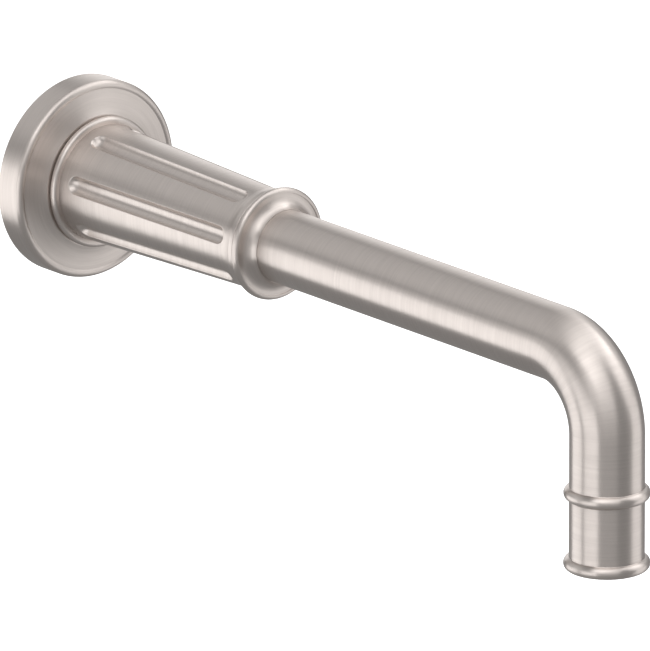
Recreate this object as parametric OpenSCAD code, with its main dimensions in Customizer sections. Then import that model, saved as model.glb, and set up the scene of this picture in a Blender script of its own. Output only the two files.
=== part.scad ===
// Wall mounted bath spout: a round wall flange, a fluted barrel, and a tube bent down to the outlet.
// The wall is the plane y = 0. The spout reaches out along -Y and pours down along -Z.
// The origin is on the inlet's axis, in the wall plane. Sizes are in millimetres.
// Depths from the wall are positive numbers, so a depth of 20 lies at y = -20.

/* [Spout] */
// Distance from the wall to the outlet's axis
reach = 276.8; // [240:0.1:320]
// Outside diameter of the spout tube
tube_d = 25.4; // [25:0.1:25.6]
// Wall thickness of the spout tube
tube_wall = 1.45; // [1.4:0.05:1.5]
// Radius of the bend, on the tube's centre line
bend_r = 26; // [24:0.5:32]
// Depth of the outlet's lowest edge below the inlet's axis
drop = 72.4; // [68:0.1:90]

/* [Wall flange] */
// Outside diameter of the flange
flange_d = 69; // [66:0.5:76]
// Height of the flange's face above the wall, at its hub
flange_h = 12.3; // [12.1:0.1:12.4]
// Height of the flange's rounded rim above the wall
rim_h = 10.7; // [10.5:0.1:10.9]
// Radius of the rim's shoulder
rim_round = 1.8; // [1.6:0.1:2]

/* [Barrel] */
// Diameter of the fluted cone where it leaves the bead at the wall flange
cone_base_d = 40.4; // [40:0.1:41]
// Diameter of the fluted cone at its thin end
cone_tip_d = 34.9; // [34.6:0.1:35.4]
// Depth at which the fluted cone ends and flares out to the collar
cone_end = 98; // [96:0.5:100]
// Number of flutes
flute_count = 7; // [5:1:9]
// Depth of a flute
flute_depth = 2.2; // [1.6:0.1:2.3]
// Radius of the round cutter that mills the flutes
flute_r = 3.5; // [3.2:0.1:3.8]
// Depth from the wall at which the flutes begin
flute_start = 19.5; // [19:0.5:20]

/* [Rings] */
// Outside diameter of the collar where the tube leaves the barrel
collar_d = 39; // [38.4:0.1:39.6]
// Outside diameter of the bead ring and of the outlet's lip
ring_d = 29.2; // [28.8:0.1:29.6]
// Thickness of the bead ring and of the outlet's lip
ring_h = 4.3; // [4.1:0.1:4.4]
// Depth of the bead ring's middle below the inlet's axis
bead_z = 45.8; // [44:0.1:48]

/* [Inlet] */
// Diameter of the adapter's tapping hole, for a half inch tapered pipe thread
inlet_d = 18.26; // [18.2:0.01:18.3]
// Length of the thread in the adapter
inlet_len = 16; // [14:0.5:18]
// Depth of the set screw's axis from the wall
screw_y = 24; // [23.5:0.5:25]

/* [Hidden] */

nickel = "#bdb4ae";
brass = "#c9a75c";
steel = "#8f9296";
rubber = "#26272a";
acetal = "#e9e7df";
grey_plastic = "#8c9094";

fine = 96;
small = 48;
hole_facets = 16;
cut = 1;
fit = 0.02;
slip = 0.05;
running = 0.07;

// Radii of the flange and of the pieces that pass through its hole
flange_r = flange_d / 2;
flange_wall = 2.1;
flange_bore_r = 19.88;
flange_hub_r = 23;
flange_hub_back = 7;
flange_inside = 7.8;
crest_base = rim_h - rim_round;
face_edge_r = flange_r - rim_round - 0.9;
face_edge_h = rim_h - 0.25;
gasket_w = 2.4;
gasket_h = 3;

// The barrel's rear spigot, its bead and its stepped bore
barrel_back = 1;
spigot_r = flange_bore_r - 0.08;
flange_gap = 0.45;
spigot_end = flange_h + flange_gap;
bead_r = 22.8;
bead_round = 1.3;
cone_start = spigot_end + bead_round;
bead_front = cone_start + 1.05;
cone_base_r = cone_base_d / 2;
cone_tip_r = cone_tip_d / 2;
cone_tilt = atan((cone_base_r - cone_tip_r) / (cone_end - cone_start));
barrel_end = 103.6;
flare_r = 12.6;
rear_bore_r = 14.05;
shoulder = 57.5;
front_bore_r = tube_d / 2 + slip;
collar_seat = 99;
collar_seat_r = 14.4;

// O-rings: the thickness of the section, and the grooves that hold them
oring_t = 1.78;
groove_w = 2.4;
flange_oring_y = 8.6;
flange_oring_r = spigot_r + 0.03 - oring_t / 2;
adapter_oring_y = [7.6, 13.4];
tube_oring_y = [62.5, 69];

// The adapter, and the stack behind the tube
adapter_r = rear_bore_r - slip;
adapter_len = 34;
adapter_pass_r = 8;
lock_groove_r = 11.8;
lock_groove_w = 6.4;
washer_t = 1.2;
nut_start = adapter_len + washer_t;
nut_end = 43.4;
nut_bore_r = 10;
nut_slot_w = 3;
nut_slot_h = 2.5;
ferrule_lip = 1.5;
tube_back = nut_end + ferrule_lip;

// The tube's centre line
tube_r = tube_d / 2;
tube_bore_r = tube_r - tube_wall;
bend_y = reach - bend_r;
lip_skirt = 1;
tube_end_z = drop - lip_skirt;

// Rings and lip
ring_round = ring_h / 2;
ring_mid_r = ring_d / 2 - ring_round;
lip_z = drop - ring_round;
lip_bore_r = tube_bore_r + slip;
collar_r = collar_d / 2;
collar_round = 1.45;
collar_y = 105.9;
collar_front = 107.1;
collar_nose = 109.6;
cove_r = 4.3;
cove_mid_r = front_bore_r + cove_r;
cove_y = collar_front + cove_r;
collar_oring_t = 1.2;
collar_oring_y = 105.4;
collar_groove_w = 1.44;

// The set screw, in the bottom flute
screw_r = 2.45;
screw_hole_r = 2.5;
screw_top = 12.9;
screw_bottom = 17.5;
hex_af = 2.5;
hex_depth = 2.4;
pad_r = 2;
pad_t = 1;

// The flow cartridge, screwed up into the outlet from below
bush_bore_r = 10.2;
bush_seat_r = 8.6;
bush_top = 56.5;
bush_seat = 58;
cart_r = bush_bore_r - running;
washer_top = bush_seat + slip;
washer_bottom = 60;
cart_top = washer_bottom + slip;
cart_bottom = 70.4;
cart_inner_r = 8.8;
cart_flange_r = 8.2;
cart_floor_h = 1.1;
cart_floor = cart_bottom - cart_floor_h;
disc_r = cart_inner_r - slip;
comb_pitch = 1.75;
comb_hole = 1.5;
comb_rings = 4;
comb_h = 4;
comb_top = cart_floor - comb_h;
screen_t = 0.3;
screen_holes = 5;
screen_pitch = 1.6;
screen_hole = 1;
spacer_t = 1.2;
spacer_w = 1.2;
diffuser_t = 1.6;
diffuser_rings = 3;
diffuser_pitch = 2.2;
diffuser_hole = 1.1;
diffuser_top = comb_top - 2 * screen_t - spacer_t - diffuser_t;
key_notches = 4;
key_notch_w = 2.2;
key_notch_h = 1.2;
key_notch_turn = 45;

// Turns a profile of radius and depth round the inlet's axis, out from the wall
module lathe() {
    rotate([90, 0, 0])
        rotate_extrude($fn = fine)
            children();
}

// Turns a profile of radius and height round the outlet's vertical axis
module outlet_lathe() {
    translate([0, -reach, 0])
        rotate_extrude($fn = fine)
            children();
}

// A ring's section between two radii and two depths
module band(inner, outer, from, to) {
    translate([inner, from])
        square([outer - inner, to - from]);
}

// The same section hung below the inlet's axis
module hung_band(inner, outer, top, bottom) {
    translate([inner, -bottom])
        square([outer - inner, bottom - top]);
}

// The section of an O-ring
module oring_section(mid_r, depth, thickness) {
    translate([mid_r, depth])
        circle(d = thickness, $fn = small);
}

// A solid rod along the tube's centre line, longer by extra at each end
module tube_path(radius, extra) {
    translate([0, -tube_back + extra, 0])
        rotate([90, 0, 0])
            cylinder(r = radius, h = bend_y - tube_back + extra, $fn = fine);
    translate([0, -bend_y, -bend_r])
        rotate([90, 0, -90])
            rotate_extrude(angle = 90, $fn = fine)
                translate([bend_r, 0])
                    circle(r = radius, $fn = fine);
    translate([0, -reach, -tube_end_z - extra])
        cylinder(r = radius, h = tube_end_z - bend_r + extra, $fn = fine);
}

// Places a drilled or turned piece at each spot of a hexagonal grid
module hex_grid(rings, pitch) {
    for (row = [-rings : rings]) {
        columns = 2 * rings + 1 - abs(row);
        for (column = [0 : columns - 1])
            translate([(column - (columns - 1) / 2) * pitch, row * pitch * sin(60), 0])
                children();
    }
}

// Spun flange that hides the hole in the wall: rounded rim, shallow cone face, hub round the barrel
module escutcheon() {
    color(nickel)
        lathe()
            difference() {
                union() {
                    band(flange_bore_r, flange_r, 0, crest_base);
                    translate([flange_r - rim_round, crest_base])
                        circle(r = rim_round, $fn = fine);
                    polygon([[flange_bore_r, crest_base], [flange_r - rim_round, crest_base],
                             [face_edge_r, face_edge_h], [flange_hub_r, flange_h],
                             [flange_bore_r, flange_h]]);
                }
                band(0, flange_r - flange_wall, -cut, gasket_h);
                band(0, flange_hub_r, -cut, flange_hub_back);
                band(flange_hub_r, flange_r - flange_wall - cut, -cut, flange_inside);
            }
}

// Foam ring in the flange's back, which seals it to the wall
module escutcheon_gasket() {
    gasket_outer = flange_r - flange_wall - fit;
    color(rubber)
        lathe()
            band(gasket_outer - gasket_w, gasket_outer, 0, gasket_h - fit);
}

// Rubber ring on the barrel's spigot, which holds the flange but lets it turn and slide
module escutcheon_o_ring() {
    color(rubber)
        lathe()
            oring_section(flange_oring_r, flange_oring_y, oring_t);
}

// Outside of the barrel before the flutes are milled
module barrel_blank() {
    lathe()
        difference() {
            union() {
                band(0, spigot_r, barrel_back, cone_start);
                band(0, bead_r - bead_round, spigot_end, cone_start);
                translate([bead_r - bead_round, cone_start])
                    circle(r = bead_round, $fn = small);
                band(0, bead_r - bead_round, cone_start, bead_front);
                polygon([[0, cone_start], [cone_base_r, cone_start], [cone_tip_r, cone_end], [0, cone_end]]);
                difference() {
                    band(0, collar_r - collar_round, cone_end, barrel_end);
                    translate([cone_tip_r + flare_r, cone_end])
                        circle(r = flare_r, $fn = fine);
                }
            }
            band(flange_oring_r - oring_t / 2, spigot_r + cut,
                 flange_oring_y - groove_w / 2, flange_oring_y + groove_w / 2);
        }
}

// The round cutter's path for the top flute: a rod with ball ends, parallel to the cone
module flute_cut() {
    half_width = sqrt(flute_r * flute_r - (flute_r - flute_depth) * (flute_r - flute_depth));
    first = flute_start + half_width;
    last = cone_end - half_width;
    length = (last - first) / cos(cone_tilt);
    lift = cone_base_r - (first - cone_start) * tan(cone_tilt) + flute_r - flute_depth;
    translate([0, -first, lift])
        rotate([90 + cone_tilt, 0, 0]) {
            cylinder(r = flute_r, h = length, $fn = small);
            sphere(r = flute_r, $fn = small);
            translate([0, 0, length])
                sphere(r = flute_r, $fn = small);
        }
}

// Turned barrel with ball-ended flutes, a bead at the flange and a flare at the collar
module fluted_barrel() {
    color(nickel)
        difference() {
            barrel_blank();
            for (k = [0 : flute_count - 1])
                rotate([0, 180 + k * 360 / flute_count, 0])
                    flute_cut();
            lathe() {
                band(0, rear_bore_r, barrel_back - cut, shoulder);
                band(0, front_bore_r, shoulder - cut, barrel_end + cut);
                band(0, collar_seat_r + fit, collar_seat, barrel_end + cut);
                for (depth = tube_oring_y)
                    band(0, front_bore_r + oring_t, depth - groove_w / 2, depth + groove_w / 2);
            }
            translate([0, -screw_y, -cone_base_r - cut])
                cylinder(r = screw_hole_r, h = cone_base_r, $fn = small);
        }
}

// Brass adapter that screws onto the supply pipe, and carries the barrel on two seals
module inlet_adapter() {
    color(brass)
        lathe()
            difference() {
                band(0, adapter_r, 0, adapter_len);
                band(0, inlet_d / 2, -cut, inlet_len);
                band(0, adapter_pass_r, inlet_len - cut, adapter_len + cut);
                for (depth = adapter_oring_y)
                    band(rear_bore_r - oring_t, adapter_r + cut, depth - groove_w / 2, depth + groove_w / 2);
                band(lock_groove_r, adapter_r + cut,
                     screw_y - lock_groove_w / 2, screw_y + lock_groove_w / 2);
            }
}

// Two rubber rings between the adapter and the barrel
module adapter_o_rings() {
    color(rubber)
        lathe()
            for (depth = adapter_oring_y)
                oring_section(rear_bore_r - oring_t / 2 - fit / 2, depth, oring_t - fit);
}

// Nylon washer between the adapter and the retaining nut
module adapter_washer() {
    color(acetal)
        lathe()
            band(adapter_pass_r + cut, adapter_r, adapter_len, nut_start);
}

// Threaded ring that clamps the ferrule, with two slots for a pin wrench
module retaining_nut() {
    color(brass)
        difference() {
            lathe()
                band(nut_bore_r, adapter_r, nut_start, nut_end);
            translate([-adapter_r - cut, -nut_start - nut_slot_h, -nut_slot_w / 2])
                cube([2 * (adapter_r + cut), nut_slot_h + cut, nut_slot_w]);
        }
}

// Brass ferrule brazed on the tube's back end, held against the barrel's inner shoulder
module tube_ferrule() {
    color(brass)
        lathe()
            difference() {
                band(nut_bore_r, adapter_r, nut_end, shoulder);
                band(0, tube_r + fit, tube_back, shoulder + cut);
            }
}

// Two rubber rings between the tube and the barrel
module tube_o_rings() {
    color(rubber)
        lathe()
            for (depth = tube_oring_y)
                oring_section(tube_r + oring_t / 2 + fit, depth, oring_t - fit);
}

// Turned collar pressed into the barrel's front, with a cove round the tube
module collar() {
    color(nickel)
        lathe()
            difference() {
                union() {
                    band(front_bore_r, collar_seat_r, collar_seat + fit, collar_front);
                    band(front_bore_r, collar_r - collar_round, barrel_end, collar_front);
                    translate([collar_r - collar_round, collar_y])
                        circle(r = collar_round, $fn = small);
                    difference() {
                        band(front_bore_r, cove_mid_r, barrel_end, collar_nose);
                        translate([cove_mid_r, cove_y])
                            circle(r = cove_r, $fn = fine);
                    }
                }
                band(0, front_bore_r + collar_oring_t, collar_oring_y - collar_groove_w / 2,
                     collar_oring_y + collar_groove_w / 2);
            }
}

// Small rubber ring in the collar, which keeps splashes out of the barrel
module collar_o_ring() {
    color(rubber)
        lathe()
            oring_section(tube_r + collar_oring_t / 2 + fit, collar_oring_y, collar_oring_t - fit);
}

// Drawn tube, straight out of the barrel and bent down to the outlet
module spout_tube() {
    color(nickel)
        difference() {
            tube_path(tube_r, 0);
            tube_path(tube_bore_r, cut);
        }
}

// Half round ring brazed round the tube above the outlet
module bead_ring() {
    color(nickel)
        outlet_lathe()
            difference() {
                translate([ring_mid_r, -bead_z])
                    circle(r = ring_round, $fn = small);
                hung_band(0, tube_r + fit, bead_z - ring_h, bead_z + ring_h);
            }
}

// Rolled lip brazed over the tube's end
module outlet_lip() {
    color(nickel)
        outlet_lathe()
            difference() {
                translate([ring_mid_r, -lip_z])
                    circle(r = ring_round, $fn = small);
                hung_band(0, tube_r + fit, lip_z - ring_h, tube_end_z + fit);
                hung_band(0, lip_bore_r, lip_z - ring_h, drop + cut);
            }
}

// Brass bush soldered inside the tube's end, threaded for the flow cartridge
module outlet_bush() {
    color(brass)
        outlet_lathe()
            difference() {
                hung_band(bush_seat_r, tube_bore_r - slip, bush_top, tube_end_z);
                hung_band(0, bush_bore_r, bush_seat, tube_end_z + cut);
            }
}

// Headless screw with a hexagon socket, in the bottom flute
module set_screw() {
    color(steel)
        translate([0, -screw_y, -screw_bottom])
            difference() {
                cylinder(r = screw_r, h = screw_bottom - screw_top, $fn = small);
                translate([0, 0, -cut])
                    cylinder(d = hex_af / cos(30), h = hex_depth + cut, $fn = 6);
            }
}

// Nylon pad between the set screw and the adapter's lock groove
module set_screw_pad() {
    color(acetal)
        translate([0, -screw_y, -screw_top + slip])
            cylinder(r = pad_r, h = pad_t - slip, $fn = small);
}

// Rubber washer that seals the flow cartridge to its bush
module flow_washer() {
    color(rubber)
        outlet_lathe()
            hung_band(bush_seat_r, cart_r, washer_top, washer_bottom);
}

// Threaded case of the flow cartridge, with notches for its key
module flow_housing() {
    color(grey_plastic)
        difference() {
            outlet_lathe()
                difference() {
                    hung_band(cart_flange_r, cart_r, cart_top, cart_bottom);
                    hung_band(0, cart_inner_r, cart_top - cut, cart_floor);
                }
            for (k = [0 : key_notches - 1])
                translate([0, -reach, -cart_bottom])
                    rotate([0, 0, key_notch_turn + k * 360 / key_notches])
                        translate([cart_flange_r - cut, -key_notch_w / 2, -cut])
                            cube([cart_r - cart_flange_r + 2 * cut, key_notch_w, key_notch_h + cut]);
        }
}

// Honeycomb that straightens the water
module flow_honeycomb() {
    color(acetal)
        translate([0, -reach, -cart_floor])
            difference() {
                cylinder(r = disc_r, h = cart_floor - comb_top, $fn = fine);
                translate([0, 0, -cut])
                    hex_grid(comb_rings, comb_pitch)
                        rotate([0, 0, 30])
                            cylinder(d = comb_hole / cos(30), h = cart_floor - comb_top + 2 * cut, $fn = 6);
            }
}

// Ring that keeps the two screens apart
module flow_spacer() {
    color(acetal)
        outlet_lathe()
            hung_band(disc_r - spacer_w, disc_r, comb_top - screen_t - spacer_t, comb_top - screen_t);
}

// Two woven steel screens, drawn as thin pierced discs
module flow_screens() {
    color(steel)
        for (top = [comb_top, comb_top - screen_t - spacer_t])
            translate([0, -reach, -top])
                difference() {
                    cylinder(r = disc_r, h = screen_t, $fn = fine);
                    for (i = [1 - screen_holes : screen_holes - 1], j = [1 - screen_holes : screen_holes - 1])
                        if (norm([i, j]) * screen_pitch < disc_r - screen_pitch)
                            translate([i * screen_pitch, j * screen_pitch, screen_t / 2])
                                cube([screen_hole, screen_hole, 2 * screen_t], center = true);
                }
}

// Pierced plate that spreads the water over the screens
module flow_diffuser() {
    color(grey_plastic)
        translate([0, -reach, -diffuser_top - diffuser_t])
            difference() {
                cylinder(r = disc_r, h = diffuser_t, $fn = fine);
                translate([0, 0, -cut])
                    hex_grid(diffuser_rings, diffuser_pitch)
                        cylinder(d = diffuser_hole, h = diffuser_t + 2 * cut, $fn = hole_facets);
            }
}

escutcheon();
escutcheon_gasket();
escutcheon_o_ring();
fluted_barrel();
inlet_adapter();
adapter_o_rings();
adapter_washer();
retaining_nut();
tube_ferrule();
tube_o_rings();
collar();
collar_o_ring();
spout_tube();
bead_ring();
outlet_lip();
outlet_bush();
set_screw();
set_screw_pad();
flow_washer();
flow_housing();
flow_honeycomb();
flow_spacer();
flow_screens();
flow_diffuser();
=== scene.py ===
# A wall mounted bath spout in brushed nickel: wall flange, fluted barrel, collar, bent tube, ringed outlet.
# The wall is the plane y = 0 and the spout reaches out along -Y. All sizes are in metres.
from math import acos, atan2, cos, pi, radians, sin, sqrt, tan

import bmesh
import bpy
import numpy as np
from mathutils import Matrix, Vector


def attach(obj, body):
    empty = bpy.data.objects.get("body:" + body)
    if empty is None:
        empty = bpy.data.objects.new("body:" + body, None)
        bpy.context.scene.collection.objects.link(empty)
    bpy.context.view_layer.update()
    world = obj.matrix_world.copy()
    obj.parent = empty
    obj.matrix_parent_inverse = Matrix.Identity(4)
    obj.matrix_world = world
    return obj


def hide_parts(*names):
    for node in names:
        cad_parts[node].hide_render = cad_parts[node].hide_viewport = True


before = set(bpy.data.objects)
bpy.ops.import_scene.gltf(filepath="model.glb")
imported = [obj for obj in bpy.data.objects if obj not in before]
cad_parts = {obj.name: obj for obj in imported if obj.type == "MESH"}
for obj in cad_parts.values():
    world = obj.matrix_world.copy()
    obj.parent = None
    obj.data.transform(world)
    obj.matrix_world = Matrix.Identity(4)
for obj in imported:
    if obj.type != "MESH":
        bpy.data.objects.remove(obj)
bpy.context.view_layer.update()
mm = 0.001


# ---- Inlet adapter -------------------------------------------------------------------------------
# The brass stub that screws onto the supply pipe. It is turned from bar, with two O-ring grooves, a
# wide groove for the set screw's pad, and a half inch pipe thread tapped in its back.

ADAPTER_R = 14.0 * mm
ADAPTER_END = 34.0 * mm
THREAD_ROOT_R = 10.45 * mm
THREAD_CREST_R = 9.2 * mm
THREAD_END = 16.0 * mm
THREAD_PITCH = 1.814 * mm
THREAD_TURNS = 8
THREAD_START = 0.25 * mm
PASSAGE_R = 8.0 * mm
SEAL_GROOVE_R = 12.27 * mm
LOCK_GROOVE_R = 11.8 * mm
BRASS = (0.68, 0.47, 0.20, 1)


def drop_selection():
    """Nothing stays selected, so that the next operator works on the new piece only."""
    if bpy.context.mode != "OBJECT":
        bpy.ops.object.mode_set(mode="OBJECT")
    bpy.ops.object.select_all(action="DESELECT")


def arc(centre, radius, start, end, count):
    """Points on a circle from one angle to another, in degrees."""
    turns = [radians(start + (end - start) * k / (count - 1)) for k in range(count)]
    return [(centre[0] + radius * cos(a), centre[1] + radius * sin(a)) for a in turns]


def eased(corners):
    """An outline whose corners of three numbers are rounded off to the radius in the third."""
    outline = []
    count = len(corners)
    for k, corner in enumerate(corners):
        if len(corner) == 2:
            outline.append(corner)
            continue
        here = np.array(corner[:2])
        to_last = np.array(corners[k - 1][:2]) - here
        to_next = np.array(corners[(k + 1) % count][:2]) - here
        to_last /= np.linalg.norm(to_last)
        to_next /= np.linalg.norm(to_next)
        half = acos(max(-1.0, min(1.0, float(to_last @ to_next)))) / 2
        middle = to_last + to_next
        middle /= np.linalg.norm(middle)
        centre = here + middle * corner[2] / sin(half)
        back = here + to_last * corner[2] / tan(half) - centre
        ahead = here + to_next * corner[2] / tan(half) - centre
        for step in range(5):
            mix = back * (4 - step) + ahead * step
            mix *= corner[2] / np.linalg.norm(mix)
            outline.append(tuple(centre + mix))
    return outline


def turned(name, outline, steps=144, upright=False, reach=0.0):
    """A closed outline of (radius, distance) turned round the barrel's axis, or the upright outlet's."""
    drop_selection()
    bpy.ops.mesh.primitive_circle_add(vertices=len(outline), radius=ADAPTER_R)
    piece = bpy.context.active_object
    piece.name = name
    bpy.ops.object.mode_set(mode="EDIT")
    shape = bmesh.from_edit_mesh(piece.data)
    shape.verts.ensure_lookup_table()
    for vertex, (radius, along) in zip(shape.verts, outline):
        vertex.co = (radius, -reach, along) if upright else (radius, -along, 0)
    bmesh.update_edit_mesh(piece.data)
    bpy.ops.mesh.select_all(action="SELECT")
    axis = (0, 0, 1) if upright else (0, 1, 0)
    bpy.ops.mesh.spin(steps=steps, angle=2 * pi, center=(0, -reach, 0), axis=axis, use_auto_merge=True)
    bpy.ops.mesh.select_all(action="SELECT")
    bpy.ops.mesh.remove_doubles(threshold=0.002 * mm)
    bpy.ops.mesh.normals_make_consistent(inside=False)
    bpy.ops.object.mode_set(mode="OBJECT")
    return piece


def apply_modifier(piece, kind, **settings):
    """Adds a modifier, sets it up and applies it."""
    bpy.context.view_layer.objects.active = piece
    modifier = piece.modifiers.new(kind.title(), kind)
    for key, value in settings.items():
        setattr(modifier, key, value)
    bpy.ops.object.modifier_apply(modifier=modifier.name)


def smooth(piece, angle=32):
    """Soft shading that keeps crisp edges and leaves the flat faces flat."""
    drop_selection()
    piece.select_set(True)
    bpy.context.view_layer.objects.active = piece
    bpy.ops.object.shade_smooth_by_angle(angle=radians(angle))
    apply_modifier(piece, "WEIGHTED_NORMAL", keep_sharp=True, weight=60)


def thread_ridge(name, root, crest, pitch, turns, start, axis):
    """The helical ridge of a thread, from its root radius to its crest."""
    drop_selection()
    bpy.ops.mesh.primitive_circle_add(vertices=4, radius=root)
    ridge = bpy.context.active_object
    ridge.name = name
    corners = [(root, 0.04), (crest, 0.44), (crest, 0.56), (root, 0.96)]
    for vertex, (radius, share) in zip(ridge.data.vertices, corners):
        along = start + share * pitch
        vertex.co = (radius, -along, 0) if axis == "Y" else (radius, 0, -along)
    apply_modifier(ridge, "SCREW", axis=axis, angle=2 * pi, screw_offset=-pitch, iterations=turns,
                   steps=48, render_steps=48)
    bpy.ops.object.mode_set(mode="EDIT")
    bpy.ops.mesh.select_all(action="SELECT")
    bpy.ops.mesh.fill_holes(sides=4)
    bpy.ops.mesh.normals_make_consistent(inside=False)
    bpy.ops.object.mode_set(mode="OBJECT")
    return ridge


def join(piece, others):
    """Makes one piece of several."""
    drop_selection()
    for other in others:
        other.select_set(True)
    piece.select_set(True)
    bpy.context.view_layer.objects.active = piece
    bpy.ops.object.join()
    return piece


def new_material(name):
    """An empty node material: its shader, its nodes and a function that links two sockets."""
    material = bpy.data.materials.new(name)
    material.use_nodes = True
    tree = material.node_tree
    return material, tree.nodes["Principled BSDF"], tree.nodes, tree.links.new


def lathe_marks(nodes, link, axis, per_metre):
    """Fine rings left by the lathe tool, a value round 0.5 that changes fast along one axis."""
    place = nodes.new("ShaderNodeTexCoord")
    parts = nodes.new("ShaderNodeSeparateXYZ")
    rings = nodes.new("ShaderNodeMath")
    rings.operation = "MULTIPLY"
    rings.inputs[1].default_value = per_metre
    marks = nodes.new("ShaderNodeTexNoise")
    marks.noise_dimensions = "4D"
    marks.inputs["Scale"].default_value = 25
    marks.inputs["Detail"].default_value = 3
    link(place.outputs["Object"], parts.inputs[0])
    link(parts.outputs[axis], rings.inputs[0])
    link(place.outputs["Object"], marks.inputs["Vector"])
    link(rings.outputs[0], marks.inputs["W"])
    return marks.outputs["Fac"]


def spread(nodes, link, value, low, high):
    """A value round 0.5 stretched to run between two numbers."""
    ramp = nodes.new("ShaderNodeMapRange")
    ramp.inputs["From Min"].default_value = 0.3
    ramp.inputs["From Max"].default_value = 0.7
    ramp.inputs["To Min"].default_value = low
    ramp.inputs["To Max"].default_value = high
    link(value, ramp.inputs["Value"])
    return ramp.outputs["Result"]


def tinted(nodes, link, value, colour, darker):
    """A colour that varies between itself and a darker one."""
    mix = nodes.new("ShaderNodeMix")
    mix.data_type = "RGBA"
    mix.inputs["A"].default_value = [c * darker for c in colour[:3]] + [1]
    mix.inputs["B"].default_value = colour
    link(value, mix.inputs["Factor"])
    return mix.outputs["Result"]


def bumped(nodes, link, value, height, shader, strength=0.5):
    """Relief of a given height on the shader."""
    bump = nodes.new("ShaderNodeBump")
    bump.inputs["Strength"].default_value = strength
    bump.inputs["Distance"].default_value = height
    link(value, bump.inputs["Height"])
    link(bump.outputs["Normal"], shader.inputs["Normal"])


def brass_turned_along(axis):
    """Bare machined brass, with the rings of the lathe tool round one axis."""
    material, shader, nodes, link = new_material("machined brass, turned round " + axis)
    marks = lathe_marks(nodes, link, axis, 4000)
    link(tinted(nodes, link, spread(nodes, link, marks, 0, 1), BRASS, 0.82), shader.inputs["Base Color"])
    link(spread(nodes, link, marks, 0.22, 0.36), shader.inputs["Roughness"])
    bumped(nodes, link, marks, 0.01 * mm, shader)
    shader.inputs["Metallic"].default_value = 1
    return material


adapter = turned("adapter_threaded", eased([
    (THREAD_ROOT_R, 15.2 * mm), (THREAD_ROOT_R, 0.5 * mm), (THREAD_ROOT_R + 0.5 * mm, 0),
    (ADAPTER_R, 0, 0.5 * mm),
    (ADAPTER_R, 6.4 * mm, 0.15 * mm), (SEAL_GROOVE_R, 6.4 * mm, 0.15 * mm),
    (SEAL_GROOVE_R, 8.8 * mm, 0.15 * mm), (ADAPTER_R, 8.8 * mm, 0.15 * mm),
    (ADAPTER_R, 12.2 * mm, 0.15 * mm), (SEAL_GROOVE_R, 12.2 * mm, 0.15 * mm),
    (SEAL_GROOVE_R, 14.6 * mm, 0.15 * mm), (ADAPTER_R, 14.6 * mm, 0.15 * mm),
    (ADAPTER_R, 20.8 * mm, 0.2 * mm), (LOCK_GROOVE_R, 20.8 * mm, 0.3 * mm),
    (LOCK_GROOVE_R, 27.2 * mm, 0.3 * mm), (ADAPTER_R, 27.2 * mm, 0.2 * mm),
    (ADAPTER_R, ADAPTER_END, 0.3 * mm), (PASSAGE_R, ADAPTER_END, 0.3 * mm),
    (PASSAGE_R, THREAD_END, 0.3 * mm), (THREAD_CREST_R - 0.07 * mm, THREAD_END),
]), steps=96)
pipe_thread = thread_ridge("pipe_thread", THREAD_ROOT_R + 0.1 * mm, THREAD_CREST_R, THREAD_PITCH,
                           THREAD_TURNS, THREAD_START, "Y")
join(adapter, [pipe_thread])
smooth(adapter)
adapter.data.materials.append(brass_turned_along("Y"))
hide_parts("inlet_adapter")
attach(adapter, "spout")


# ---- Rubber rings --------------------------------------------------------------------------------
# Moulded nitrile O-rings on the adapter, round the tube, in the collar and under the flange, and the
# flat washer on the flow cartridge. They are squeezed in their grooves and lie where the frame has them.

RUBBER = (0.022, 0.022, 0.024, 1)


def finish_nodes(names, material):
    """Gives pieces of the frame their finish."""
    for name in names:
        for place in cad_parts[name].material_slots:
            place.material = material


def fine_grain(nodes, link, scale, detail):
    """An even grain right through the stuff, a value round 0.5."""
    place = nodes.new("ShaderNodeTexCoord")
    texture = nodes.new("ShaderNodeTexNoise")
    texture.inputs["Scale"].default_value = scale
    texture.inputs["Detail"].default_value = detail
    link(place.outputs["Object"], texture.inputs["Vector"])
    return texture.outputs["Fac"]


rubber, shader, nodes, link = new_material("nitrile rubber")
bloom = fine_grain(nodes, link, 260, 4)
link(tinted(nodes, link, spread(nodes, link, bloom, 0, 1), RUBBER, 0.6), shader.inputs["Base Color"])
link(spread(nodes, link, bloom, 0.42, 0.6), shader.inputs["Roughness"])
bumped(nodes, link, bloom, 0.01 * mm, shader)
finish_nodes(["adapter_o_rings", "tube_o_rings", "collar_o_ring", "escutcheon_o_ring", "flow_washer"], rubber)


# ---- Washer, nut and ferrule ---------------------------------------------------------------------
# Inside the barrel a brass ring nut pulls the ferrule, brazed on the tube's back end, against a
# shoulder. An acetal washer keeps the nut off the adapter, and an acetal pad sits under the set screw.

ACETAL = (0.80, 0.78, 0.72, 1)


def moulded(name, colour, low, high, grain):
    """Moulded plastic with the fine grain of its tool."""
    plastic, shader, nodes, link = new_material(name)
    value = fine_grain(nodes, link, grain, 3)
    link(tinted(nodes, link, spread(nodes, link, value, 0, 1), colour, 0.93), shader.inputs["Base Color"])
    link(spread(nodes, link, value, low, high), shader.inputs["Roughness"])
    bumped(nodes, link, value, 0.008 * mm, shader)
    return plastic


acetal = moulded("natural acetal", ACETAL, 0.30, 0.42, 900)
finish_nodes(["retaining_nut", "tube_ferrule"], brass_turned_along("Y"))
finish_nodes(["adapter_washer", "set_screw_pad"], acetal)


# ---- Fluted barrel -------------------------------------------------------------------------------
# A brass casting turned to a long cone with a bead at the wall flange and a flare at the collar, then
# milled with seven ball-ended flutes. It is brushed on the lathe and plated in satin nickel.

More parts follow.
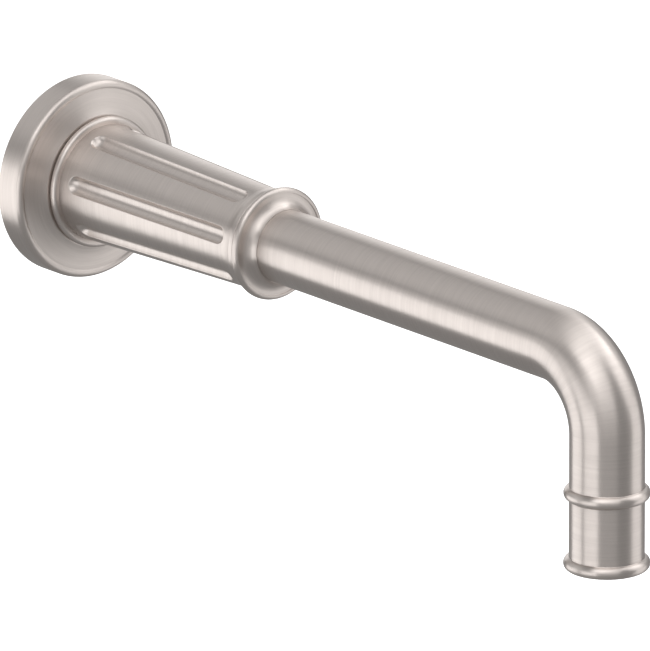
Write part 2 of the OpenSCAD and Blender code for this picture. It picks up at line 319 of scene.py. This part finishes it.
BORE_R = 14.05 * mm
SPIGOT_R = 19.8 * mm
SPIGOT_BACK = 1.0 * mm
FLANGE_GROOVE_R = 18.05 * mm
BEAD_MID_R = 21.5 * mm
BEAD_ROUND = 1.3 * mm
CONE_START = 14.05 * mm
CONE_END = 98.0 * mm
CONE_BASE_R = 20.2 * mm
CONE_TIP_R = 17.45 * mm
FLARE_ROUND = 12.6 * mm
BARREL_LIP_R = 18.05 * mm
BARREL_END = 103.6 * mm
SHOULDER = 57.5 * mm
TUBE_HOLE_R = 12.75 * mm
TUBE_SEAL_R = 14.53 * mm
COLLAR_HOLE_R = 14.42 * mm
COLLAR_HOLE = 99.0 * mm
FLUTES = 7
FLUTE_R = 3.5 * mm
FLUTE_DEPTH = 2.2 * mm
FLUTE_BACK = 22.75 * mm
FLUTE_FRONT = 94.75 * mm
FLUTE_EDGE_SOFT = 0.30 * mm
MILL_FROM = 17 * mm
MILL_TO = CONE_END + 1.5 * mm
ROW_GAP = 0.2 * mm
COLUMNS = 72
EDGE_BAND = 0.035
SCREW_Y = -24.0 * mm
SCREW_HOLE_R = 2.5 * mm
NICKEL = (0.674, 0.615, 0.578, 1)


def cone_radius(depth):
    """The cone's radius at a depth from the wall."""
    return CONE_BASE_R + (CONE_TIP_R - CONE_BASE_R) * (depth - CONE_START) / (CONE_END - CONE_START)


def cone_row(depth):
    """A point of the outline on the cone."""
    return (cone_radius(depth), depth)


def map_turning(piece, outline, upright=False, reach=0.0):
    """A UV map in metres: U runs along the outline, and V round the piece. It steers the brushing."""
    outline = np.array(outline)
    lengths = np.linalg.norm(np.roll(outline, -1, 0) - outline, axis=1)
    along = np.concatenate([[0], np.cumsum(lengths)])
    mesh = piece.data
    points = np.array([v.co for v in mesh.vertices])
    if upright:
        radius, depth = np.hypot(points[:, 0], points[:, 1] + reach), points[:, 2]
        angle = np.arctan2(points[:, 1] + reach, points[:, 0])
    else:
        radius, depth = np.hypot(points[:, 0], points[:, 2]), -points[:, 1]
        angle = np.arctan2(points[:, 2], points[:, 0])
    gaps = (radius[:, None] - outline[None, :, 0]) ** 2 + (depth[:, None] - outline[None, :, 1]) ** 2
    nearest = gaps.argmin(1)
    layer = mesh.uv_layers.new(name="turning")
    mesh.uv_layers.active = layer
    for face in mesh.polygons:
        first_angle = angle[mesh.loops[face.loop_start].vertex_index]
        rows = [nearest[mesh.loops[k].vertex_index] for k in face.loop_indices]
        wraps = max(rows) - min(rows) > 1
        for k, row in zip(face.loop_indices, rows):
            turn = angle[mesh.loops[k].vertex_index]
            turn -= 2 * pi * round((turn - first_angle) / (2 * pi))
            u = along[-1] if wraps and row == 0 else along[row]
            layer.data[k].uv = (u, turn * outline[:, 0].mean())


def brushed_nickel():
    """Satin nickel plate, brushed round and round: soft along the axis, sharp across it."""
    plate, shader, nodes, link = new_material("brushed nickel plate")
    place = nodes.new("ShaderNodeTexCoord")
    turning = nodes.new("ShaderNodeUVMap")
    turning.uv_map = "turning"
    parts = nodes.new("ShaderNodeSeparateXYZ")
    fine = nodes.new("ShaderNodeMath")
    fine.operation = "MULTIPLY"
    fine.inputs[1].default_value = 1500
    streaks = nodes.new("ShaderNodeTexNoise")
    streaks.noise_dimensions = "4D"
    streaks.inputs["Scale"].default_value = 1
    streaks.inputs["Detail"].default_value = 4
    streaks.inputs["Roughness"].default_value = 0.7
    slow = nodes.new("ShaderNodeVectorMath")
    slow.operation = "SCALE"
    slow.inputs["Scale"].default_value = 45
    link(turning.outputs["UV"], parts.inputs[0])
    link(parts.outputs["X"], fine.inputs[0])
    link(place.outputs["Object"], slow.inputs[0])
    link(slow.outputs[0], streaks.inputs["Vector"])
    link(fine.outputs[0], streaks.inputs["W"])
    value = streaks.outputs["Fac"]
    link(tinted(nodes, link, spread(nodes, link, value, 0, 1), NICKEL, 0.90), shader.inputs["Base Color"])
    link(spread(nodes, link, value, 0.40, 0.31), shader.inputs["Roughness"])
    bumped(nodes, link, value, 0.012 * mm, shader, 0.45)
    grain = nodes.new("ShaderNodeTangent")
    grain.direction_type = "UV_MAP"
    grain.uv_map = "turning"
    link(grain.outputs["Tangent"], shader.inputs["Tangent"])
    shader.inputs["Metallic"].default_value = 1
    shader.inputs["Anisotropic"].default_value = 0.75
    return plate


nickel = brushed_nickel()
back_rows = [FLUTE_BACK - FLUTE_R + ROW_GAP * (k - 2) for k in range(22)]
middle_rows = [FLUTE_BACK + 2 * mm * k for k in range(1, 36)]
front_rows = [FLUTE_FRONT + ROW_GAP * k for k in range(16)]
barrel_outline = eased([
    (BORE_R, SPIGOT_BACK, 0.3 * mm), (SPIGOT_R, SPIGOT_BACK, 0.3 * mm),
    (SPIGOT_R, 7.4 * mm, 0.15 * mm), (FLANGE_GROOVE_R, 7.4 * mm, 0.15 * mm),
    (FLANGE_GROOVE_R, 9.8 * mm, 0.15 * mm), (SPIGOT_R, 9.8 * mm, 0.15 * mm),
    (SPIGOT_R, CONE_START - BEAD_ROUND),
    *arc((BEAD_MID_R, CONE_START), BEAD_ROUND, -90, 86, 20), (20.42 * mm, 15.12 * mm, 0.1 * mm),
    (cone_radius(14.98 * mm), 14.98 * mm, 0.04 * mm),
    cone_row(15.4 * mm), cone_row(17 * mm), cone_row(18.2 * mm),
    *[cone_row(depth) for depth in back_rows + middle_rows + front_rows],
    *arc((CONE_TIP_R + FLARE_ROUND, CONE_END), FLARE_ROUND, 180, 162.25, 8),
    (BARREL_LIP_R, BARREL_END, 0.2 * mm), (COLLAR_HOLE_R, BARREL_END, 0.2 * mm),
    (COLLAR_HOLE_R, COLLAR_HOLE), (TUBE_HOLE_R, COLLAR_HOLE),
    (TUBE_HOLE_R, 70.2 * mm), (TUBE_SEAL_R, 70.2 * mm), (TUBE_SEAL_R, 67.8 * mm), (TUBE_HOLE_R, 67.8 * mm),
    (TUBE_HOLE_R, 63.7 * mm), (TUBE_SEAL_R, 63.7 * mm), (TUBE_SEAL_R, 61.3 * mm), (TUBE_HOLE_R, 61.3 * mm),
    (TUBE_HOLE_R, SHOULDER), (BORE_R, SHOULDER),
])
barrel = turned("barrel_milled", barrel_outline, steps=FLUTES * COLUMNS)
map_turning(barrel, barrel_outline)

# the columns of the mesh are drawn towards the flutes' edges, and the ball cutter pushes the cone in
points = np.array([v.co for v in barrel.data.vertices])
depth = -points[:, 1]
radius = np.hypot(points[:, 0], points[:, 2])
pitch = 2 * pi / FLUTES
half_width = sqrt(FLUTE_R**2 - (FLUTE_R - FLUTE_DEPTH) ** 2)
turn = np.arctan2(points[:, 0], -points[:, 2])
flute = np.round(turn / pitch)
aside = (turn - flute * pitch) / (pitch / 2)
edge = np.arcsin(half_width / cone_radius(np.clip(depth, CONE_START, CONE_END))) / (pitch / 2)
shares = np.array([0.0, 0.40, 0.62, 1.0])
spots = np.stack([0 * edge, edge - EDGE_BAND, edge + EDGE_BAND, 0 * edge + 1])
size = np.abs(aside)
moved = np.zeros_like(size)
for k in range(3):
    inside = (size >= shares[k]) & (size <= shares[k + 1])
    share = (size - shares[k]) / (shares[k + 1] - shares[k])
    moved = np.where(inside, spots[k] + share * (spots[k + 1] - spots[k]), moved)
aside = np.sign(aside) * moved * (pitch / 2)
past_end = np.maximum(0, np.maximum(FLUTE_BACK - depth, depth - FLUTE_FRONT))
cutter_r = cone_radius(np.clip(depth, FLUTE_BACK, FLUTE_FRONT)) + FLUTE_R - FLUTE_DEPTH
under = FLUTE_R**2 - past_end**2 - (cutter_r * np.sin(aside)) ** 2
cut = np.where(under > 0, cutter_r * np.cos(aside) - np.sqrt(np.maximum(under, 0)), 1.0)
near = np.maximum(FLUTE_EDGE_SOFT - np.abs(cut - radius), 0) / FLUTE_EDGE_SOFT
milled = np.minimum(cut, radius) - near**2 * FLUTE_EDGE_SOFT / 4
on_cone = (radius > CONE_TIP_R - 0.1 * mm) & (depth > MILL_FROM) & (depth < MILL_TO)
radius = np.where(on_cone, milled, radius)
turn = flute * pitch + aside
for vertex, r, a in zip(barrel.data.vertices, radius, turn):
    vertex.co = (r * sin(a), vertex.co.y, -r * cos(a))

drop_selection()
bpy.ops.mesh.primitive_cylinder_add(vertices=64, radius=SCREW_HOLE_R, depth=12 * mm,
                                    location=(0, SCREW_Y, -17 * mm))
drill = bpy.context.active_object
apply_modifier(barrel, "BOOLEAN", object=drill, operation="DIFFERENCE", solver="EXACT")
bpy.data.objects.remove(drill)
smooth(barrel, 40)
barrel.data.materials.clear()
barrel.data.materials.append(nickel)
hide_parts("fluted_barrel")
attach(barrel, "spout")


# ---- Collar --------------------------------------------------------------------------------------
# A turned brass ring pressed into the barrel's front, plated like it. It has a half round bead, and a
# cove that runs in to the tube, with a rubber ring behind it.

COLLAR_MID_R = 18.05 * mm
COLLAR_ROUND = 1.45 * mm
COLLAR_MIDDLE = 105.9 * mm
COLLAR_FACE = 107.1 * mm
COVE_ROUND = 4.3 * mm
COVE_MID_R = TUBE_HOLE_R + COVE_ROUND
COVE_MIDDLE = COLLAR_FACE + COVE_ROUND
COLLAR_NOSE = 110.42 * mm
COLLAR_SPIGOT_R = 14.4 * mm
COLLAR_BACK = 99.02 * mm
COLLAR_SEAL_R = 13.95 * mm


def plate(piece, outline, node, body, **where):
    """Maps, smooths and plates a turned piece, and puts it in its node's place."""
    map_turning(piece, outline, **where)
    smooth(piece)
    piece.data.materials.append(nickel)
    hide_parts(node)
    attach(piece, body)


collar_outline = eased([
    (TUBE_HOLE_R, COLLAR_BACK, 0.2 * mm), (COLLAR_SPIGOT_R, COLLAR_BACK, 0.3 * mm),
    (COLLAR_SPIGOT_R, BARREL_END), (COLLAR_MID_R, BARREL_END, 0.15 * mm),
    (COLLAR_MID_R, COLLAR_MIDDLE - COLLAR_ROUND, 0.1 * mm),
    *arc((COLLAR_MID_R, COLLAR_MIDDLE), COLLAR_ROUND, -84, 98, 18),
    (17.78 * mm, COLLAR_FACE, 0.08 * mm),
    *arc((COVE_MID_R, COVE_MIDDLE), COVE_ROUND, -92, -166, 20),
    (12.86 * mm, COLLAR_NOSE, 0.02 * mm), (TUBE_HOLE_R, COLLAR_NOSE, 0.02 * mm),
    (TUBE_HOLE_R, 106.12 * mm), (COLLAR_SEAL_R, 106.12 * mm), (COLLAR_SEAL_R, 104.68 * mm),
    (TUBE_HOLE_R, 104.68 * mm),
])
collar = turned("collar_turned", collar_outline)
plate(collar, collar_outline, "collar", "spout")


# ---- Spout tube ----------------------------------------------------------------------------------
# One inch drawn brass tube, run straight out of the barrel and bent down through a quarter turn on a
# mandrel. Its wall is 1.45 mm, and it is brushed round and round like the barrel.

REACH = 276.8 * mm
TUBE_R = 12.7 * mm
TUBE_WALL = 1.45 * mm
TUBE_BACK = 44.9 * mm
BEND_R = 26.0 * mm
TUBE_BOTTOM = -71.4 * mm
BEND_START = REACH - BEND_R
STRAIGHT_STEPS = 40
LEG_STEPS = 12

drop_selection()
bpy.ops.mesh.primitive_circle_add(vertices=112, radius=TUBE_R, location=(0, -TUBE_BACK, 0),
                                  rotation=(pi / 2, 0, 0))
tube = bpy.context.active_object
tube.name = "tube_bent"
bpy.ops.object.transform_apply(location=True, rotation=True, scale=True)
bpy.ops.object.mode_set(mode="EDIT")
bpy.ops.mesh.select_all(action="SELECT")
straight = (BEND_START - TUBE_BACK) / STRAIGHT_STEPS
for step in range(STRAIGHT_STEPS):
    bpy.ops.mesh.extrude_region_move(TRANSFORM_OT_translate={"value": (0, -straight, 0)})
bpy.ops.mesh.spin(steps=60, angle=pi / 2, center=(0, -BEND_START, -BEND_R), axis=(-1, 0, 0))
leg = (-BEND_R - TUBE_BOTTOM) / LEG_STEPS
for step in range(LEG_STEPS):
    bpy.ops.mesh.extrude_region_move(TRANSFORM_OT_translate={"value": (0, 0, -leg)})
bpy.ops.mesh.select_all(action="SELECT")
bpy.ops.mesh.remove_doubles(threshold=0.002 * mm)
bpy.ops.mesh.normals_make_consistent(inside=False)
bpy.ops.object.mode_set(mode="OBJECT")
apply_modifier(tube, "SOLIDIFY", thickness=TUBE_WALL, offset=-1, use_even_offset=True)


def on_tube(point):
    """How far along the tube's middle line a point is, its angle round that line, and its distance off it."""
    if point.y > -BEND_START:
        along, side, up = -point.y - TUBE_BACK, point.x, point.z
    elif point.z > -BEND_R:
        swing = atan2(-BEND_START - point.y, point.z + BEND_R)
        along = BEND_START - TUBE_BACK + BEND_R * swing
        side, up = point.x, sqrt((point.y + BEND_START) ** 2 + (point.z + BEND_R) ** 2) - BEND_R
    else:
        along = BEND_START - TUBE_BACK + BEND_R * pi / 2 - BEND_R - point.z
        side, up = point.x, -point.y - REACH
    return along, atan2(up, side), sqrt(side**2 + up**2)


layer = tube.data.uv_layers.new(name="turning")
for face in tube.data.polygons:
    first = None
    for k in face.loop_indices:
        along, turn, off = on_tube(tube.data.vertices[tube.data.loops[k].vertex_index].co)
        first = turn if first is None else first
        turn -= 2 * pi * round((turn - first) / (2 * pi))
        layer.data[k].uv = (along + TUBE_R - off, turn * TUBE_R)
smooth(tube)
tube.data.materials.append(nickel)
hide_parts("spout_tube")
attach(tube, "spout")


# ---- Bead ring and lip ---------------------------------------------------------------------------
# Two half round brass rings brazed on the tube: a bead above the outlet, and the lip that rolls over
# the tube's cut end. The braze leaves a small fillet against the tube.

RING_MID_R = 12.45 * mm
RING_ROUND = 2.15 * mm
BEAD_MIDDLE = -45.8 * mm
LIP_MIDDLE = -70.25 * mm
LIP_BORE_R = 11.3 * mm
SEAT_R = TUBE_R + 0.02 * mm
BRAZE = 0.28 * mm

edge_h = RING_ROUND - 0.01 * mm
bead_outline = eased([
    (SEAT_R - 0.01 * mm, BEAD_MIDDLE - edge_h - BRAZE), (SEAT_R, BEAD_MIDDLE + edge_h + BRAZE),
    (SEAT_R + 0.02 * mm, BEAD_MIDDLE + edge_h, BRAZE * 0.8),
    *arc((RING_MID_R, BEAD_MIDDLE), RING_ROUND, 72, -72, 19),
    (SEAT_R + 0.02 * mm, BEAD_MIDDLE - edge_h, BRAZE * 0.8),
])
bead = turned("bead_brazed", bead_outline, 112, True, REACH)
plate(bead, bead_outline, "bead_ring", "spout", upright=True, reach=REACH)

lip_outline = eased([
    (SEAT_R, TUBE_BOTTOM - 0.02 * mm), (SEAT_R, LIP_MIDDLE + edge_h + BRAZE),
    (SEAT_R + 0.02 * mm, LIP_MIDDLE + edge_h, BRAZE * 0.8),
    *arc((RING_MID_R, LIP_MIDDLE), RING_ROUND, 72, -122, 25),
    (LIP_BORE_R, TUBE_BOTTOM - 0.02 * mm),
])
lip = turned("lip_rolled", lip_outline, 112, True, REACH)
plate(lip, lip_outline, "outlet_lip", "spout", upright=True, reach=REACH)


# ---- Outlet bush and flow cartridge --------------------------------------------------------------
# A brass bush is soldered in the tube's end. A moulded cartridge screws up into it and straightens the
# water: a pierced plate, two steel screens with a spacer, and a honeycomb in a grey case.

CASE_GREY = (0.30, 0.31, 0.33, 1)
SCREEN_STEEL = (0.60, 0.60, 0.61, 1)

finish_nodes(["outlet_bush"], brass_turned_along("Z"))
case_grey = moulded("grey moulded case", CASE_GREY, 0.38, 0.52, 700)
finish_nodes(["flow_housing", "flow_diffuser"], case_grey)
finish_nodes(["flow_honeycomb", "flow_spacer"], acetal)
screen, shader, nodes, link = new_material("woven steel wire")
weave = fine_grain(nodes, link, 1800, 2)
link(tinted(nodes, link, spread(nodes, link, weave, 0, 1), SCREEN_STEEL, 0.7), shader.inputs["Base Color"])
link(spread(nodes, link, weave, 0.25, 0.45), shader.inputs["Roughness"])
shader.inputs["Metallic"].default_value = 1
finish_nodes(["flow_screens"], screen)


# ---- Wall flange and gasket ----------------------------------------------------------------------
# The flange is spun from brass sheet with a rounded rim, a shallow face and a hub round the barrel's
# spigot, and plated like the barrel. A ring of closed cell foam in its back seals it to the wall.

FLANGE_R = 34.5 * mm
FLANGE_H = 12.3 * mm
RIM_H = 10.7 * mm
RIM_ROUND = 1.8 * mm
RIM_MID_R = FLANGE_R - RIM_ROUND
RIM_MIDDLE = RIM_H - RIM_ROUND
VALLEY_R = 31.6 * mm
VALLEY_H = 10.42 * mm
FACE_R = 23.0 * mm
FACE_POINTS = [(29.0 * mm, 10.76 * mm), (26.6 * mm, 11.2 * mm), (24.6 * mm, 11.7 * mm)]
FLANGE_BORE_R = 19.88 * mm
HUB_BACK = 7.0 * mm
HOLLOW = 7.8 * mm
HOLLOW_R = 31.4 * mm
GASKET_R = 32.4 * mm
GASKET_H = 3.0 * mm
FOAM = (0.030, 0.030, 0.032, 1)

flange_outline = eased([
    (GASKET_R, 0, 0.2 * mm), (FLANGE_R, 0, 0.35 * mm), (FLANGE_R, 3 * mm), (FLANGE_R, 6.5 * mm),
    *arc((RIM_MID_R, RIM_MIDDLE), RIM_ROUND, 0, 116, 24),
    (VALLEY_R, VALLEY_H, 0.4 * mm), *FACE_POINTS,
    (FACE_R, FLANGE_H, 1.2 * mm), (FLANGE_BORE_R, FLANGE_H, 0.35 * mm), (FLANGE_BORE_R, HUB_BACK, 0.3 * mm),
    (FACE_R, HUB_BACK, 0.3 * mm), (FACE_R, HOLLOW, 0.6 * mm), (HOLLOW_R, HOLLOW, 0.8 * mm),
    (HOLLOW_R, GASKET_H, 0.2 * mm), (GASKET_R, GASKET_H, 0.1 * mm),
])
flange = turned("flange_spun", flange_outline, steps=192)
plate(flange, flange_outline, "escutcheon", "flange")

foam, shader, nodes, link = new_material("closed cell foam")
place = nodes.new("ShaderNodeTexCoord")
cells = nodes.new("ShaderNodeTexVoronoi")
cells.inputs["Scale"].default_value = 2200
link(place.outputs["Object"], cells.inputs["Vector"])
walls = cells.outputs["Distance"]
link(tinted(nodes, link, spread(nodes, link, walls, 0, 1), FOAM, 0.5), shader.inputs["Base Color"])
link(spread(nodes, link, walls, 0.8, 0.95), shader.inputs["Roughness"])
bumped(nodes, link, walls, 0.06 * mm, shader, 0.8)
finish_nodes(["escutcheon_gasket"], foam)


# ---- Set screw -----------------------------------------------------------------------------------
# A headless M5 screw of stainless steel in the bottom flute, with a hexagon socket for its key. It
# clamps the barrel on the adapter through its pad.

SCREW_TOP = -12.9 * mm
SCREW_BOTTOM = -17.5 * mm
SCREW_CREST_R = 2.45 * mm
SCREW_CORE_R = 2.05 * mm
SCREW_PITCH = 0.8 * mm
SCREW_TURNS = 4
SOCKET_ACROSS = 2.5 * mm
SOCKET_DEPTH = 2.4 * mm
STEEL = (0.50, 0.50, 0.51, 1)

screw = turned("screw_headless", eased([
    (0, SCREW_TOP), (1.5 * mm, SCREW_TOP, 0.1 * mm), (SCREW_CORE_R, SCREW_TOP - 0.5 * mm),
    (SCREW_CORE_R, SCREW_BOTTOM + 0.25 * mm), (1.85 * mm, SCREW_BOTTOM, 0.1 * mm), (0, SCREW_BOTTOM),
]), 48, True, -SCREW_Y)
drop_selection()
bpy.ops.mesh.primitive_cylinder_add(vertices=6, radius=SOCKET_ACROSS / sqrt(3), depth=2 * SOCKET_DEPTH,
                                    location=(0, SCREW_Y, SCREW_BOTTOM))
broach = bpy.context.active_object
apply_modifier(screw, "BOOLEAN", object=broach, operation="DIFFERENCE", solver="EXACT")
bpy.data.objects.remove(broach)
screw_thread = thread_ridge("screw_thread", SCREW_CORE_R - 0.03 * mm, SCREW_CREST_R, SCREW_PITCH,
                            SCREW_TURNS, -SCREW_TOP + 0.3 * mm, "Z")
screw_thread.location = (0, SCREW_Y, 0)
drop_selection()
screw_thread.select_set(True)
bpy.context.view_layer.objects.active = screw_thread
bpy.ops.object.transform_apply(location=True, rotation=True, scale=True)
join(screw, [screw_thread])
smooth(screw)
steel, shader, nodes, link = new_material("plain stainless steel")
marks = lathe_marks(nodes, link, "Z", 5000)
link(tinted(nodes, link, spread(nodes, link, marks, 0, 1), STEEL, 0.8), shader.inputs["Base Color"])
link(spread(nodes, link, marks, 0.24, 0.38), shader.inputs["Roughness"])
shader.inputs["Metallic"].default_value = 1
screw.data.materials.clear()
screw.data.materials.append(steel)
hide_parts("set_screw")
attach(screw, "screw")


# ---- Floor, backdrop and light -------------------------------------------------------------------
# The spout hangs above a plain white floor inside a white dome. Both glow only towards the camera, so
# the metal mirrors just the soft boxes round it. The floor and the dome are clear from behind.

FLOOR_Z = -0.30
DOME_R = 2.2

paper, shader, nodes, link = new_material("white paper")
shader.inputs["Base Color"].default_value = (0.9, 0.9, 0.9, 1)
shader.inputs["Emission Color"].default_value = (1, 1, 1, 1)
shader.inputs["Emission Strength"].default_value = 1
side = nodes.new("ShaderNodeNewGeometry")
clear = nodes.new("ShaderNodeBsdfTransparent")
choice = nodes.new("ShaderNodeMixShader")
link(side.outputs["Backfacing"], choice.inputs["Fac"])
link(shader.outputs[0], choice.inputs[1])
link(clear.outputs[0], choice.inputs[2])
link(choice.outputs[0], nodes["Material Output"].inputs["Surface"])

drop_selection()
bpy.ops.mesh.primitive_circle_add(vertices=96, radius=DOME_R, fill_type="NGON", location=(0, 0, FLOOR_Z))
floor = bpy.context.active_object
floor.name = "floor"
drop_selection()
bpy.ops.mesh.primitive_uv_sphere_add(segments=64, ring_count=32, radius=DOME_R)
dome = bpy.context.active_object
dome.name = "dome"
bpy.ops.object.mode_set(mode="EDIT")
bpy.ops.mesh.select_all(action="SELECT")
bpy.ops.mesh.flip_normals()
bpy.ops.object.mode_set(mode="OBJECT")
for backdrop in (floor, dome):
    backdrop.data.materials.append(paper)
    backdrop.visible_glossy = False
    backdrop.visible_diffuse = False
    backdrop.visible_shadow = False


def soft_box(name, azimuth, elevation, width, height, glow, centre=(0, -0.13, -0.02), distance=1.0):
    """A soft box in that direction from the spout, so many degrees wide and high, aimed at it.
    Azimuth 0 is the right of the spout, 90 behind the wall and 270 in front."""
    a, e = radians(azimuth), radians(elevation)
    away = Vector((cos(a) * cos(e), sin(a) * cos(e), sin(e)))
    light = bpy.data.lights.new(name, "AREA")
    light.shape = "RECTANGLE"
    light.size = 2 * distance * tan(radians(width / 2))
    light.size_y = 2 * distance * tan(radians(height / 2))
    light.energy = glow * 4 * light.size * light.size_y
    box = bpy.data.objects.new(name, light)
    bpy.context.scene.collection.objects.link(box)
    box.location = Vector(centre) + away * distance
    box.rotation_euler = away.to_track_quat("Z", "Y").to_euler()
    box.visible_camera = False


soft_box("back left box", 129, -12, 50, 38, 1.05)
soft_box("left box", 187, -12, 46, 38, 1.00)
soft_box("high left box", 170, 16, 80, 14, 0.35)
soft_box("front left box", 232, 34, 64, 40, 0.60)
soft_box("front low box", 238, -6, 46, 36, 0.14)
soft_box("front right box", 322, 32, 40, 34, 0.85)
soft_box("front right low box", 326, -16, 40, 52, 0.60)
soft_box("right box", 18, 34, 60, 34, 0.30)
soft_box("back right box", 58, 8, 44, 26, 0.70)
soft_box("back high box", 112, 40, 70, 30, 0.30)
soft_box("overhead box", 285, 74, 100, 44, 1.00)

world = bpy.data.worlds.new("room")
bpy.context.scene.world = world
world.use_nodes = True
world.node_tree.nodes["Background"].inputs["Color"].default_value = (0.30, 0.30, 0.30, 1)
world.node_tree.nodes["Background"].inputs["Strength"].default_value = 1
bpy.context.scene.view_settings.view_transform = "Standard"


# ---- Camera --------------------------------------------------------------------------------------
# A long lens far off, to the left of the spout and a little above it. It is held level, and aimed a
# little aside of the spout's middle.

AZIMUTH = radians(-40.07)
ELEVATION = radians(17.57)
LENS = 1480
SENSOR = 36
FRAME_WIDTH = 0.2188
LOOK_AT = Vector((0, -0.125, -0.020))
ASIDE = 3.88 * mm
BELOW = 4.19 * mm

back = Vector((sin(AZIMUTH) * cos(ELEVATION), -cos(AZIMUTH) * cos(ELEVATION), sin(ELEVATION)))
right = Vector((cos(AZIMUTH), sin(AZIMUTH), 0))
up = back.cross(right)
aim = LOOK_AT + ASIDE * right - BELOW * up
camera_data = bpy.data.cameras.new("camera")
camera_data.lens = LENS
camera_data.sensor_width = SENSOR
camera_data.sensor_fit = "HORIZONTAL"
camera_data.clip_end = 100
camera = bpy.data.objects.new("camera", camera_data)
bpy.context.scene.collection.objects.link(camera)
camera.location = aim + back * (FRAME_WIDTH * LENS / SENSOR)
camera.rotation_euler = back.to_track_quat("Z", "Y").to_euler()
bpy.context.scene.camera = camera
